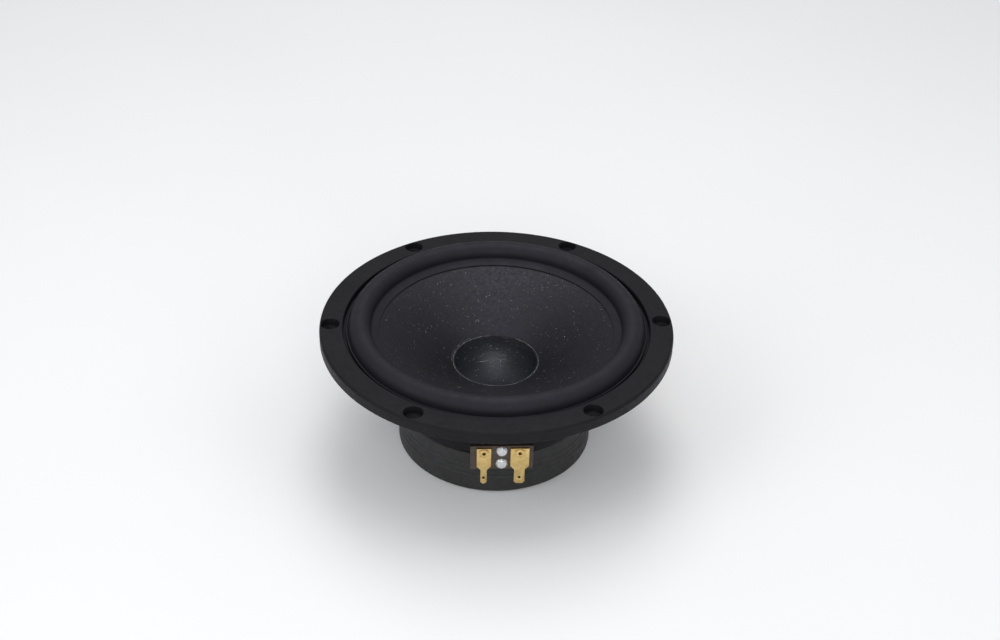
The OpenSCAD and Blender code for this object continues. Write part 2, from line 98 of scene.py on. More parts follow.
# Mounting flange, collar, pan and arms
FLANGE_R = radius("basket")
FLANGE_Z = high_z("basket")
FLOOR_Z = low_z("basket")
GROOVE_R = 72.0
SEAT_Z = FLANGE_Z - 2.8
COLLAR_R = 70.5
COLLAR_IN_R = 66.5
COLLAR_Z = -7.0
PAN_R = 50.3
PAN_IN_R = 47.3
PAN_HOLE_R = 24.0
PAN_FLOOR_T = 2.5
SHELF_Z = -24.5
SHELF_IN_R = 43.0
SHELF_RIM_R = 48.0
SHELF_T = 2.2
HOLES = 6
HOLE_RING_R = 78.0
HOLE_R = 2.6
RECESS_R = 4.25
RECESS_Z = FLANGE_Z - 3.4
# Stations of an arm: outer face (r, z), inner face (r, z) and width, from the collar down
ARM_STATIONS = [
    (70.0, -3.0, 66.8, -3.0, 20.0),
    (70.0, -7.5, 66.8, -6.5, 18.5),
    (67.0, -12.0, 63.6, -11.0, 13.8),
    (60.5, -18.5, 57.0, -17.6, 11.8),
    (54.0, -25.0, 50.4, -24.2, 10.2),
    (50.2, -30.0, 47.5, -30.0, 10.0),
    (50.2, -32.9, 47.5, -32.9, 10.0),
]
RIB_W = 3.0
RIB_PROUD = 2.6
# The arm that carries the terminals has no rib, and a block for the board instead
TERMINAL_ARM = 270
BLOCK_HALF_W = 4.5
BLOCK_IN_Y = -52
FLOOR_VENTS = 18
FLOOR_VENT_RING_R = 44.9
FLOOR_VENT_R = 1.5
MOTOR_SCREWS = 4
SCREW_RING_R = 33.0
SCREW_HOLE_R = 2.75
SCREW_HEAD_R = 4.7
SCREW_HEAD_T = 2.1

# Cone, surround, cap and spider
CONE_R = radius("cone")
CONE_EDGE_Z = high_z("cone")
CONE_RISE = 0.51
CONE_FLARE = 1.4
FLARE_FROM_R = 20.2
PAPER_DROP = 0.786
NECK_IN_R = 13.05
NECK_OUT_R = 13.85
LIP_R = 55.3
LIP_T = 0.6
GLUE = 0.05
ROLL_MID_R = 64.2
ROLL_R = 5.2
ROLL_MID_Z = high_z("surround") - ROLL_R
RUBBER_T = 0.8
RIM_W = 0.7
CAP_R = radius("dust_cap")
CAP_TOP_Z = high_z("dust_cap")
CAP_FOOT_Z = low_z("dust_cap")
CAP_T = 0.5
# Hairs of pulp that lie across the cap: x, y, length and width
CAP_HAIRS = ((-6.0, -7.0, 5.5, 0.11), (2.2, -6.6, 4.5, 0.09))
SPIDER_IN_R = 14.05
SPIDER_FLAT_R = SHELF_IN_R - 0.1
SPIDER_MID_Z = SHELF_Z + 0.3
SPIDER_T = 0.6
SPIDER_WAVES = 6
SPIDER_AMP = 1.2
SPIDER_TAPER = 6
CLOTH_PITCH = 1.1
SPIDER_NECK_Z = SPIDER_MID_Z + 1.6

# Motor
MAGNET_R = radius("magnet")
PLATE_R = radius("top_plate")
MAGNET_TOP_Z = high_z("magnet")
MAGNET_LOW_Z = low_z("magnet")
MOTOR_END_Z = low_z("back_plate")
BOOT_R = radius("magnet_boot")
BOOT_TOP_Z = high_z("magnet_boot")
BOOT_LOW_Z = low_z("magnet_boot")
BOOT_LIP_R = 42.4
BOOT_HOLE_R = 16.0
BOOT_GROOVES = (-43.0, -46.0, -49.0)
SCREEN_R = radius("vent_screen")
SCREEN_Z = (low_z("vent_screen") + high_z("vent_screen")) / 2

# Terminals and leads
BOARD_BACK_Y = box_mm("terminal_board")[1][1]
EYELET_X = 8.0
EYELET_Z = -19.6
# A flexible lead's route from its solder joint, the same as the CAD lead's, mirrored for the other side
LEAD_ROUTE = [
    (EYELET_X, -61.35, EYELET_Z), (EYELET_X, -59, EYELET_Z), (EYELET_X, -56, -20), (7.9, -53, -20.6),
    (7.6, -50, -20.6), (7.2, -47, -19.8), (6.8, -44, -18.2), (6.4, -41, -16), (6.2, -38.6, -13.4),
]
ANCHOR = (6.0, -35.0)
ANCHOR_R = 2.6
LEAD_END_DROP = 1.35
COIL_LEAD_R = 0.25
COIL_LEAD_DROP = 0.35
FORMER_R = radius("voice_coil_former")
FORMER_T = 0.25
COIL_R = radius("voice_coil_winding")
COIL_TOP_Z = high_z("voice_coil_winding")
COIL_LOW_Z = low_z("voice_coil_winding")
NECK_Z = low_z("cone")


def cone_front(r):
    """Height of the cone's front surface at radius r: straight under the cap and flared outside it."""
    u = np.maximum(0, (r - FLARE_FROM_R) / (CONE_R - FLARE_FROM_R))
    return CONE_EDGE_Z + (r - CONE_R) * CONE_RISE + 4 * CONE_FLARE * u * (1 - u)


def cone_slope(r):
    """Slope of the flared part at radius r."""
    width = CONE_R - FLARE_FROM_R
    return CONE_RISE + 4 * CONE_FLARE / width * (1 - 2 * (r - FLARE_FROM_R) / width)


def cone_back(r):
    return cone_front(r) - PAPER_DROP


CAP_RISE = CAP_TOP_Z - CAP_FOOT_Z
CAP_SPHERE_R = (CAP_R**2 + CAP_RISE**2) / (2 * CAP_RISE)


def cap_height(r):
    """Height of the dust cap's front surface at radius r."""
    return CAP_TOP_Z - CAP_SPHERE_R + math.sqrt(CAP_SPHERE_R**2 - r**2)


# ---- shapes: each is (points in mm, faces) ----


def rounded(corners, radius_mm, steps):
    """A closed outline with its corners turned into arcs. A corner may carry its own radius."""
    made = []
    for i, corner in enumerate(corners):
        p = np.array(corner[:2], float)
        r = corner[2] if len(corner) > 2 else radius_mm
        a = np.array(corners[i - 1][:2], float) - p
        b = np.array(corners[(i + 1) % len(corners)][:2], float) - p
        reach_a, reach_b = np.linalg.norm(a), np.linalg.norm(b)
        a, b = a / reach_a, b / reach_b
        half = math.acos(float(np.clip(a @ b, -1, 1))) / 2
        if r <= 0 or half > math.radians(84):
            made.append(p)
            continue
        reach = min(r / math.tan(half), 0.45 * reach_a, 0.45 * reach_b)
        centre = p + (a + b) / np.linalg.norm(a + b) * reach / math.cos(half)
        start, end = p + a * reach - centre, p + b * reach - centre
        sweep = math.atan2(start[0] * end[1] - start[1] * end[0], start @ end)
        for k in range(steps + 1):
            c, s = math.cos(sweep * k / steps), math.sin(sweep * k / steps)
            made.append(centre + np.array([start[0] * c - start[1] * s, start[0] * s + start[1] * c]))
    return np.array(made)


def arc(centre, r, first, last, steps):
    """Points of an arc in the (r, z) plane, from angle first to angle last in degrees."""
    angles = np.radians(np.linspace(first, last, steps + 1))
    return [(centre[0] + r * math.cos(a), centre[1] + r * math.sin(a)) for a in angles]


def quads(rows, count, closed):
    """Faces of a net of points: each row goes round, and a closed net's last row meets its first."""
    i, j = np.arange(rows if closed else rows - 1)[:, None], np.arange(count)[None, :]
    next_i, next_j = (i + 1) % rows, (j + 1) % count
    corners = (i * count + j, i * count + next_j, next_i * count + next_j, next_i * count + j)
    return np.stack(corners, -1).reshape(-1, 4).tolist()


def revolved(outline, segments, closed=True):
    """An outline of (r, z) turned about the Z axis, with its faces pointing outwards."""
    outline = np.asarray(outline, float)
    r, z = outline[:, 0], outline[:, 1]
    if np.sum(r * np.roll(z, -1) - np.roll(r, -1) * z) < 0:
        r, z = r[::-1], z[::-1]
    angle = np.arange(segments) * TURN / segments
    x, y, level = np.outer(r, np.cos(angle)), np.outer(r, np.sin(angle)), np.outer(z, np.ones(segments))
    return np.stack([x, y, level], -1).reshape(-1, 3), quads(len(r), segments, closed)


def lofted(sections):
    """A solid through equal closed sections, capped at both ends."""
    sections = np.asarray(sections, float)
    rings, count = sections.shape[:2]
    ends = [list(range(count))[::-1], list(range((rings - 1) * count, rings * count))]
    return sections.reshape(-1, 3), quads(rings, count, False) + ends


def smooth_path(points, steps):
    """A Catmull-Rom curve through the points, with steps pieces between each two."""
    p = np.asarray(points, float)
    p = np.vstack([2 * p[0] - p[1], p, 2 * p[-1] - p[-2]])
    made = []
    for i in range(1, len(p) - 2):
        for t in np.arange(steps) / steps:
            made.append(
                0.5 * (2 * p[i] + (p[i + 1] - p[i - 1]) * t
                + (2 * p[i - 1] - 5 * p[i] + 4 * p[i + 1] - p[i + 2]) * t**2
                + (3 * p[i] - p[i - 1] - 3 * p[i + 1] + p[i + 2]) * t**3)
            )
    return np.array(made + [p[-2]])


def frames_along(path):
    """Two unit vectors across the path at each point, which don't twist about it."""
    tangents = np.gradient(path, axis=0)
    tangents /= np.linalg.norm(tangents, axis=1)[:, None]
    side = np.cross(tangents[0], [0.13, 0.31, 0.94])
    us = []
    for t in tangents:
        side = side - t * (side @ t)
        side = side / np.linalg.norm(side)
        us.append(side)
    us = np.array(us)
    return us, np.cross(tangents, us)


def rings_round(path, us, vs, r, sides):
    """A ring of points about each point of a path; r is one radius or one for each ring."""
    angle = np.arange(sides) * TURN / sides
    offsets = np.cos(angle)[None, :, None] * us[:, None] + np.sin(angle)[None, :, None] * vs[:, None]
    return path[:, None] + np.broadcast_to(r, len(path))[:, None, None] * offsets


def tube(path, r, sides):
    """A tube along a path."""
    return lofted(rings_round(path, *frames_along(path), r, sides))


def loop_tube(path, r, sides):
    """A tube along a closed path that lies about level."""
    tangents = np.roll(path, -1, 0) - np.roll(path, 1, 0)
    tangents /= np.linalg.norm(tangents, axis=1)[:, None]
    us = np.cross(tangents, [0, 0, 1])
    us /= np.linalg.norm(us, axis=1)[:, None]
    rings = rings_round(path, us, np.cross(us, tangents), r, sides)
    return rings.reshape(-1, 3), quads(len(path), sides, True)


def strands(path, count, r, offset, turns, sides):
    """Wires of radius r that wind about a path at a distance, with one more along its middle."""
    us, vs = frames_along(path)
    along = np.linspace(0, 1, len(path))
    made = [tube(path, r, sides)]
    for k in range(count):
        a = TURN * (k / count + turns * along)
        made.append(tube(path + offset * (np.cos(a)[:, None] * us + np.sin(a)[:, None] * vs), r, sides))
    return made


def ripple(points, size, seed, waves=28):
    """Smooth noise about 0, mostly within -1 to 1, with features about size mm across."""
    rng = np.random.default_rng(seed)
    numbers = rng.normal(size=(waves, points.shape[1])) * math.pi / size
    phases = rng.uniform(0, TURN, waves)
    return np.sin(points @ numbers.T + phases).sum(1) / math.sqrt(waves)


def placed(shape, matrix):
    """A shape moved by a 4x4 matrix whose lengths are in mm."""
    points, faces = shape
    m = np.array(matrix)
    return points @ m[:3, :3].T + m[:3, 3], faces


def in_ring(shape, count, ring_r, shift=0.5):
    """Copies of a shape round the axis, the first one shift steps from the X axis."""
    turns = [Matrix.Rotation(TURN * (k + shift) / count, 4, "Z") for k in range(count)]
    return [placed(shape, turn @ Matrix.Translation((ring_r, 0, 0))) for turn in turns]


# ---- meshes and pieces ----


def new_mesh(name, shapes):
    """One mesh from several shapes; a shape may end with its material's index."""
    points, faces, marks, offset = [], [], [], 0
    for shape in shapes:
        corners, sides = shape[0], shape[1]
        points.append(corners)
        faces += [[offset + k for k in face] for face in sides]
        marks += [shape[2] if len(shape) > 2 else 0] * len(sides)
        offset += len(corners)
    mesh = bpy.data.meshes.new(name)
    mesh.from_pydata((np.vstack(points) * MM).tolist(), [], faces)
    mesh.polygons.foreach_set("material_index", marks)
    return mesh


def weld(mesh):
    """Joins points in the same place, such as those on the axis, and drops the faces that this flattens."""
    reach = 1e-8
    work = bmesh.new()
    work.from_mesh(mesh)
    bmesh.ops.remove_doubles(work, verts=work.verts, dist=reach)
    bmesh.ops.dissolve_degenerate(work, edges=work.edges, dist=reach)
    work.to_mesh(mesh)
    work.free()


def new_object(name, data):
    obj = bpy.data.objects.new(name, data)
    bpy.context.scene.collection.objects.link(obj)
    return obj


def piece(name, shapes, looks, slot, node, body=None, sharp=60, welded=False):
    """A finished piece that replaces a CAD node."""
    mesh = new_mesh(name, shapes)
    if welded:
        weld(mesh)
    return piece_from_mesh(name, mesh, looks, slot, node, body, sharp)


def piece_from_mesh(name, mesh, looks, slot, node, body, sharp):
    for look in looks:
        mesh.materials.append(look.material)
    mesh.shade_smooth()
    mesh.set_sharp_from_angle(angle=math.radians(sharp))
    obj = new_object(name, mesh)
    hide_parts(node)
    if body:
        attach(obj, body)
    return obj


def blend_rings(obj):
    """Bakes the ring's placement into its mesh and reads its points, which are not moved."""
    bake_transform(obj)
    points = np.zeros(len(obj.data.vertices) * 3, np.float32)
    obj.data.vertices.foreach_get("co", points)


def softened_mesh(node, width):
    """The CAD node's own shape with its hard edges rounded to width mm."""
    same_place, flat, hard = 2e-6, math.radians(1), math.radians(30)
    source = frame["nodes"][node].data
    mesh = bpy.data.meshes.new(node + "_softened")
    mesh.from_pydata([v.co[:] for v in source.vertices], [], [p.vertices[:] for p in source.polygons])
    work = bmesh.new()
    work.from_mesh(mesh)
    bmesh.ops.remove_doubles(work, verts=work.verts, dist=same_place)
    bmesh.ops.dissolve_limit(
        work, angle_limit=flat, verts=work.verts, edges=work.edges, use_dissolve_boundaries=False
    )
    bmesh.ops.bevel(
        work, geom=[e for e in work.edges if len(e.link_faces) == 2 and e.calc_face_angle(0) > hard],
        offset=width * MM, segments=2, profile=0.5, affect="EDGES", clamp_overlap=True,
    )
    bmesh.ops.recalc_face_normals(work, faces=work.faces)
    work.to_mesh(mesh)
    work.free()
    return mesh


def combined(base, added, cut):
    """Base with the added shapes joined on and then the cut shapes taken away, as one closed mesh."""
    scene = bpy.context.scene
    groups = []

    def solid(name, shape, collection):
        mesh = new_mesh(name, [shape])
        weld(mesh)
        obj = bpy.data.objects.new(name, mesh)
        collection.objects.link(obj)
        return obj

    obj = solid("combined", base, scene.collection)
    for operation, shapes in (("UNION", added), ("DIFFERENCE", cut)):
        groups.append(bpy.data.collections.new(operation))
        scene.collection.children.link(groups[-1])
        for i, shape in enumerate(shapes):
            solid(f"{operation}_{i}", shape, groups[-1])
        modifier = obj.modifiers.new(operation, "BOOLEAN")
        modifier.operation = operation
        modifier.operand_type = "COLLECTION"
        modifier.collection = groups[-1]
        modifier.solver = "EXACT"
    made = bpy.data.meshes.new_from_object(obj.evaluated_get(bpy.context.evaluated_depsgraph_get()))
    for group in groups:
        for helper in list(group.objects):
            bpy.data.objects.remove(helper)
        bpy.data.collections.remove(group)
    bpy.data.objects.remove(obj)
    return made


# ---- material building ----


class Look:
    """A Principled material and short ways to drive it with procedural nodes."""

    def __init__(self, name, colour, roughness, **sockets):
        self.material = bpy.data.materials.new(name)
        self.material.use_nodes = True
        self.tree = self.material.node_tree
        self.shader = self.tree.nodes["Principled BSDF"]
        self.shader.inputs["Base Color"].default_value = (*colour, 1)
        self.shader.inputs["Roughness"].default_value = roughness
        for label, value in sockets.items():
            self.shader.inputs[label.replace("_", " ").title().replace("Ior", "IOR")].default_value = value
        self.space = self.tree.nodes.new("ShaderNodeTexCoord").outputs["Object"]
        self.normal = None
        self.material.diffuse_color = (*colour, 1)

    def node(self, kind, inputs, **settings):
        made = self.tree.nodes.new(kind)
        for key, value in settings.items():
            setattr(made, key, value)
        for key, value in inputs.items():
            if isinstance(value, bpy.types.NodeSocket):
                self.tree.links.new(value, made.inputs[key])
            else:
                made.inputs[key].default_value = value
        return made

    def stretched(self, scale):
        """Coordinates in metres, scaled along X, Y and Z."""
        return self.node("ShaderNodeVectorMath", {0: self.space, 1: scale}, operation="MULTIPLY").outputs[0]

    def noise(self, size_mm, detail=2.0, rough=0.5, distortion=0.0, space=None):
        """Noise from 0 to 1 whose features are about size_mm across."""
        inputs = {"Vector": space or self.space, "Scale": 1000 / size_mm, "Detail": detail}
        inputs.update({"Roughness": rough, "Distortion": distortion})
        return self.node("ShaderNodeTexNoise", inputs).outputs["Fac"]

    def ring_noise(self, size_mm, detail):
        """Noise that changes with the distance from the speaker's axis only, as turning marks do."""
        flat = self.stretched((1, 1, 0))
        length = self.node("ShaderNodeVectorMath", {0: flat}, operation="LENGTH").outputs["Value"]
        inputs = {"W": length, "Scale": 1000 / size_mm, "Detail": detail}
        return self.node("ShaderNodeTexNoise", inputs, noise_dimensions="1D").outputs["Fac"]

    def spots(self, size_mm, reach, pattern, pick):
        """1 in small round spots, one to a cell of size_mm, where the pattern is above pick."""
        inputs = {"Vector": self.space, "Scale": 1000 / size_mm}
        distance = self.node("ShaderNodeTexVoronoi", inputs, feature="F1").outputs["Distance"]
        spot = self.math("LESS_THAN", distance, reach)
        return self.math("MULTIPLY", spot, self.math("GREATER_THAN", pattern, pick))

    def math(self, operation, a, b=0.0):
        return self.node("ShaderNodeMath", {0: a, 1: b}, operation=operation).outputs[0]

    def mapped(self, value, low, high, start=0.3, end=0.7):
        """Value from start to end turned into low to high."""
        inputs = {"Value": value, "From Min": start, "From Max": end, "To Min": low, "To Max": high}
        return self.node("ShaderNodeMapRange", inputs).outputs[0]

    def mixed(self, factor, a, b):
        """Colour a where factor is 0 and b where it is 1."""
        a, b = ((*colour, 1) if isinstance(colour, tuple) else colour for colour in (a, b))
        return self.node("ShaderNodeMix", {0: factor, 6: a, 7: b}, data_type="RGBA").outputs[2]

    def clouded(self, pattern, dark, light):
        """A colour that goes from dark to light as the pattern rises."""
        return self.mixed(self.mapped(pattern, 0, 1), dark, light)

    def base(self, colour):
        self.tree.links.new(colour, self.shader.inputs["Base Color"])

    def colour(self, pattern, dark, light):
        self.base(self.clouded(pattern, dark, light))

    def roughness(self, pattern, low, high):
        self.tree.links.new(self.mapped(pattern, low, high), self.shader.inputs["Roughness"])

    def bump(self, height, depth_mm, strength):
        """Relief of depth_mm, laid over any relief that was added before."""
        inputs = {"Height": height, "Distance": depth_mm * MM, "Strength": strength}
        if self.normal:
            inputs["Normal"] = self.normal
        self.normal = self.node("ShaderNodeBump", inputs).outputs["Normal"]
        self.tree.links.new(self.normal, self.shader.inputs["Normal"])


# ---- materials ----

# The sheen of the rubber and pulp is tinted slightly violet, and the cap's bluish: a painted tint of the
# light in their reflections
VIOLET_LIGHT_TINT = (0.86, 0.83, 1.0, 1)
BLUE_LIGHT_TINT = (0.80, 0.85, 1.0, 1)


def powder_coat():
    look = Look("satin_powder_coat", (0.015, 0.015, 0.017), 0.5, specular_ior_level=0.12)
    grain = look.noise(0.35, 3, 0.6)
    tone = look.clouded(look.noise(14, 3), (0.0092, 0.0089, 0.0108), (0.0120, 0.0115, 0.0140))
    look.base(look.mixed(look.mapped(grain, 0, 1, 0.55, 0.75), tone, (0.018, 0.018, 0.020)))
    look.roughness(look.noise(2.5, 3), 0.42, 0.58)
    look.bump(look.noise(1.3, 2), 0.03, 0.35)
    look.bump(grain, 0.03, 0.55)
    return look


def surround_rubber():
    look = Look("matt_rubber", (0.009, 0.0086, 0.0108), 0.6, specular_ior_level=0.26, specular_tint=VIOLET_LIGHT_TINT)
    bloom = look.noise(18, 4, 0.55, 0.4)
    tone = look.clouded(bloom, (0.0112, 0.0107, 0.0132), (0.0140, 0.0134, 0.0165))
    look.base(look.mixed(look.spots(2.6, 0.09, look.noise(5), 0.56), tone, (0.05, 0.05, 0.055)))
    look.roughness(look.noise(6, 3), 0.5, 0.64)
    look.bump(look.noise(0.5, 3), 0.008, 0.6)
    look.bump(look.ring_noise(1.2, 1), 0.01, 0.25)
    return look


def pulp(name, dark, light, fibre, rough_low, rough_high, shine, tint):
    """Pressed paper: clouded pulp, fibres lying every way, and small pale specks."""
    look = Look(name, dark, rough_high, specular_ior_level=shine, specular_tint=tint)
    tone = look.clouded(look.noise(9, 5, 0.6), dark, light)
    streaks = [
        look.noise(1.0, 3, 0.6, 0.6, look.stretched(scale))
        for scale in ((0.22, 1.0, 1.0), (1.0, 0.2, 1.0), (0.8, 0.8, 0.25))
    ]
    strongest = look.math("MAXIMUM", look.math("MAXIMUM", streaks[0], streaks[1]), streaks[2])
    tone = look.mixed(look.mapped(strongest, 0, 0.55, 0.60, 0.78), tone, fibre)
    for size, reach, pick in ((2.4, 0.10, 0.58), (1.1, 0.12, 0.60)):
        chosen = look.spots(size, reach, look.noise(size * 3), pick)
        tone = look.mixed(look.math("MULTIPLY", chosen, 0.8), tone, (0.13, 0.13, 0.135))
    look.base(tone)
    look.roughness(look.noise(1.6, 4), rough_low, rough_high)
    look.bump(look.noise(0.7, 4, 0.65), 0.07, 0.7)
    look.bump(strongest, 0.04, 0.5)
    return look


def cone_paper():
    dark, light, fibre = (0.0015, 0.0014, 0.0018), (0.0032, 0.0030, 0.0038), (0.012, 0.0117, 0.0136)
    return pulp("cone_pulp", dark, light, fibre, 0.40, 0.60, 0.42, VIOLET_LIGHT_TINT)


def cap_paper():
    dark, light, fibre = (0.0005, 0.0008, 0.0012), (0.0010, 0.0014, 0.0020), (0.006, 0.0072, 0.0090)
    return pulp("cap_pulp", dark, light, fibre, 0.30, 0.42, 0.33, BLUE_LIGHT_TINT)


def pale_fleck():
    look = Look("pale_fibre", (0.42, 0.43, 0.46), 0.7)
    look.colour(look.noise(1.5, 2), (0.14, 0.147, 0.155), (0.58, 0.59, 0.61))
    return look


# Pale colour for the thin lines round the cap: a painted glint of the glue bead's edges catching the light.
def pale_adhesive():
    look = Look("painted_glint_thread", (0.13, 0.135, 0.144), 0.5, specular_ior_level=0.3)
    look.colour(look.noise(2.2, 3), (0.12, 0.125, 0.135), (0.40, 0.41, 0.43))
    look.bump(look.noise(0.5, 2), 0.03, 0.5)
    return look


def dark_adhesive(name, base, rough_low, rough_high, shine):
    """Black adhesive, slightly lumpy."""
    look = Look(name, base, rough_high, specular_ior_level=shine)
    look.colour(look.noise(2.5, 3), base, tuple(2 * c for c in base))
    look.roughness(look.noise(1.5, 2), rough_low, rough_high)
    look.bump(look.noise(1.6, 2), 0.12, 0.5)
    return look


def spider_cloth():
    look = Look("resin_cloth", (0.42, 0.27, 0.10), 0.75, sheen_weight=0.15, sheen_roughness=0.5)
    threads = []
    for across in ((1, 0, 0), (0, 1, 0)):
        line = look.node("ShaderNodeVectorMath", {0: look.space, 1: across}, operation="DOT_PRODUCT")
        turns = look.math("MULTIPLY", line.outputs["Value"], TURN / (CLOTH_PITCH * MM))
        wavy = look.math("ADD", turns, look.mapped(look.noise(6, 2), -0.9, 0.9))
        threads.append(look.math("ABSOLUTE", look.math("SINE", wavy)))
    weave = look.math("MAXIMUM", *threads)
    tone = look.clouded(look.noise(12, 4), (0.36, 0.22, 0.075), (0.50, 0.33, 0.13))
    look.base(look.mixed(look.mapped(weave, 0, 1, 0.35, 0.9), (0.20, 0.115, 0.035), tone))
    look.roughness(look.noise(1.2, 3), 0.62, 0.85)
    look.bump(weave, 0.12, 0.7)
    look.bump(look.noise(0.25, 2), 0.03, 0.5)
    return look


def plated_steel():
    look = Look("zinc_plate", (0.56, 0.57, 0.58), 0.32, metallic=1.0)
    look.colour(look.noise(8, 4, 0.6), (0.47, 0.48, 0.49), (0.62, 0.63, 0.635))
    look.roughness(look.noise(3, 4), 0.24, 0.44)
    look.bump(look.ring_noise(0.35, 3), 0.012, 0.5)
    look.bump(look.noise(0.6, 2), 0.006, 0.4)
    return look


def ferrite():
    look = Look("fired_ferrite", (0.055, 0.056, 0.058), 0.62)
    look.colour(look.noise(1.0, 5, 0.7), (0.040, 0.041, 0.043), (0.075, 0.076, 0.078))
    look.roughness(look.noise(4, 3), 0.5, 0.75)
    look.bump(look.noise(0.4, 3), 0.03, 0.6)
    return look


def boot_rubber():
    look = Look("moulded_rubber", (0.016, 0.016, 0.0165), 0.6)
    look.colour(look.noise(10, 4, 0.6), (0.0135, 0.0135, 0.014), (0.021, 0.021, 0.0215))
    look.roughness(look.noise(3, 3), 0.5, 0.68)
    look.bump(look.noise(0.45, 3), 0.03, 0.6)
    return look


def wire_steel():
    look = Look("screen_wire", (0.42, 0.43, 0.44), 0.3, metallic=1.0)
    look.colour(look.noise(1.2, 3), (0.30, 0.31, 0.32), (0.52, 0.53, 0.54))
    look.roughness(look.noise(0.8, 2), 0.24, 0.42)
    return look


def dark_steel():
    look = Look("black_zinc", (0.085, 0.086, 0.09), 0.38, metallic=1.0)
    look.colour(look.noise(1.5, 4), (0.06, 0.061, 0.065), (0.13, 0.13, 0.135))
    look.roughness(look.noise(1.0, 3), 0.28, 0.5)
    look.bump(look.noise(0.3, 2), 0.01, 0.5)
    return look


def fibre_board():
    look = Look("phenolic_board", (0.045, 0.028, 0.018), 0.45)
    grain = look.noise(1.2, 4, 0.6, 0.3, look.stretched((0.15, 1.0, 1.0)))
    look.colour(grain, (0.032, 0.019, 0.012), (0.068, 0.043, 0.027))
    look.roughness(look.noise(2, 3), 0.34, 0.55)
    look.bump(grain, 0.02, 0.5)
    return look


def stamped_metal(name, dark, light, rough_low, rough_high):
    """Bare sheet metal with rolling marks and slight tarnish."""
    look = Look(name, light, rough_high, metallic=1.0)
    rolled = look.noise(0.5, 3, 0.6, 0.0, look.stretched((1.0, 1.0, 0.06)))
    look.colour(look.noise(3, 4, 0.6), dark, light)
    look.roughness(rolled, rough_low, rough_high)
    look.bump(rolled, 0.006, 0.5)
    return look


def solder():
    look = Look("soft_solder", (0.62, 0.63, 0.64), 0.3, metallic=1.0)
    look.colour(look.noise(0.8, 3), (0.50, 0.51, 0.52), (0.70, 0.71, 0.72))
    look.roughness(look.noise(0.6, 3), 0.18, 0.42)
    look.bump(look.noise(0.7, 2), 0.04, 0.4)
    return look


def tinsel():
    look = Look("tinned_tinsel", (0.52, 0.40, 0.28), 0.35, metallic=1.0)
    fine = look.noise(0.2, 2, 0.5, 0.0, look.stretched((1.0, 0.4, 1.0)))
    look.colour(fine, (0.40, 0.27, 0.16), (0.66, 0.57, 0.46))
    look.roughness(look.noise(0.5, 2), 0.26, 0.5)
    look.bump(fine, 0.03, 0.7)
    return look


def enamelled_copper():
    coat = {"coat_weight": 0.6, "coat_roughness": 0.12}
    look = Look("enamelled_copper", (0.60, 0.24, 0.09), 0.3, metallic=1.0, **coat)
    look.colour(look.noise(2, 3), (0.46, 0.16, 0.05), (0.70, 0.31, 0.13))
    look.roughness(look.noise(1, 2), 0.22, 0.38)
    return look


def amber_film():
    look = Look("amber_film", (0.36, 0.17, 0.035), 0.28, coat_weight=0.5, coat_roughness=0.1)
    look.colour(look.noise(5, 3), (0.29, 0.13, 0.024), (0.43, 0.21, 0.05))
    look.roughness(look.noise(2, 2), 0.2, 0.36)
    look.bump(look.noise(3, 2), 0.02, 0.3)
    return look


# ---- frame side pieces ----


def arm_shell(angle, push=0.0, width=None):
    """One arm's plate, or its rib when it is pushed outwards and given a width of its own."""
    stations = smooth_path(ARM_STATIONS, 5)
    sections = []
    for outer_r, outer_z, inner_r, inner_z, station_w in stations:
        w = width or station_w
        thick = math.hypot(outer_r - inner_r, outer_z - inner_z)
        outline = rounded([(-w / 2, 0), (w / 2, 0), (w / 2, thick), (-w / 2, thick)], 0.8, 3)
        part = outline[:, 1] / thick
        r = np.minimum(inner_r + push + (outer_r - inner_r) * part, COLLAR_R - 0.1)
        z = inner_z + (outer_z - inner_z) * part
        a = math.radians(angle) + outline[:, 0] / outer_r
        sections.append(np.stack([r * np.cos(a), r * np.sin(a), z], -1))
    return lofted(sections)


def block(low, high, r):
    """A box with its upright edges rounded and its ends slightly drawn in."""
    x, y = (low[0], high[0]), (low[1], high[1])
    middle = np.array([sum(x) / 2, sum(y) / 2])
    outline = rounded([(x[0], y[0]), (x[1], y[0]), (x[1], y[1]), (x[0], y[1])], r, 3)
    sections = []
    for z, inset in ((low[2], 0.4), (low[2] + 0.4, 0.0), (high[2] - 0.4, 0.0), (high[2], 0.4)):
        ring = outline - np.sign(outline - middle) * inset
        sections.append(np.column_stack([ring, np.full(len(ring), z)]))
    return lofted(sections)


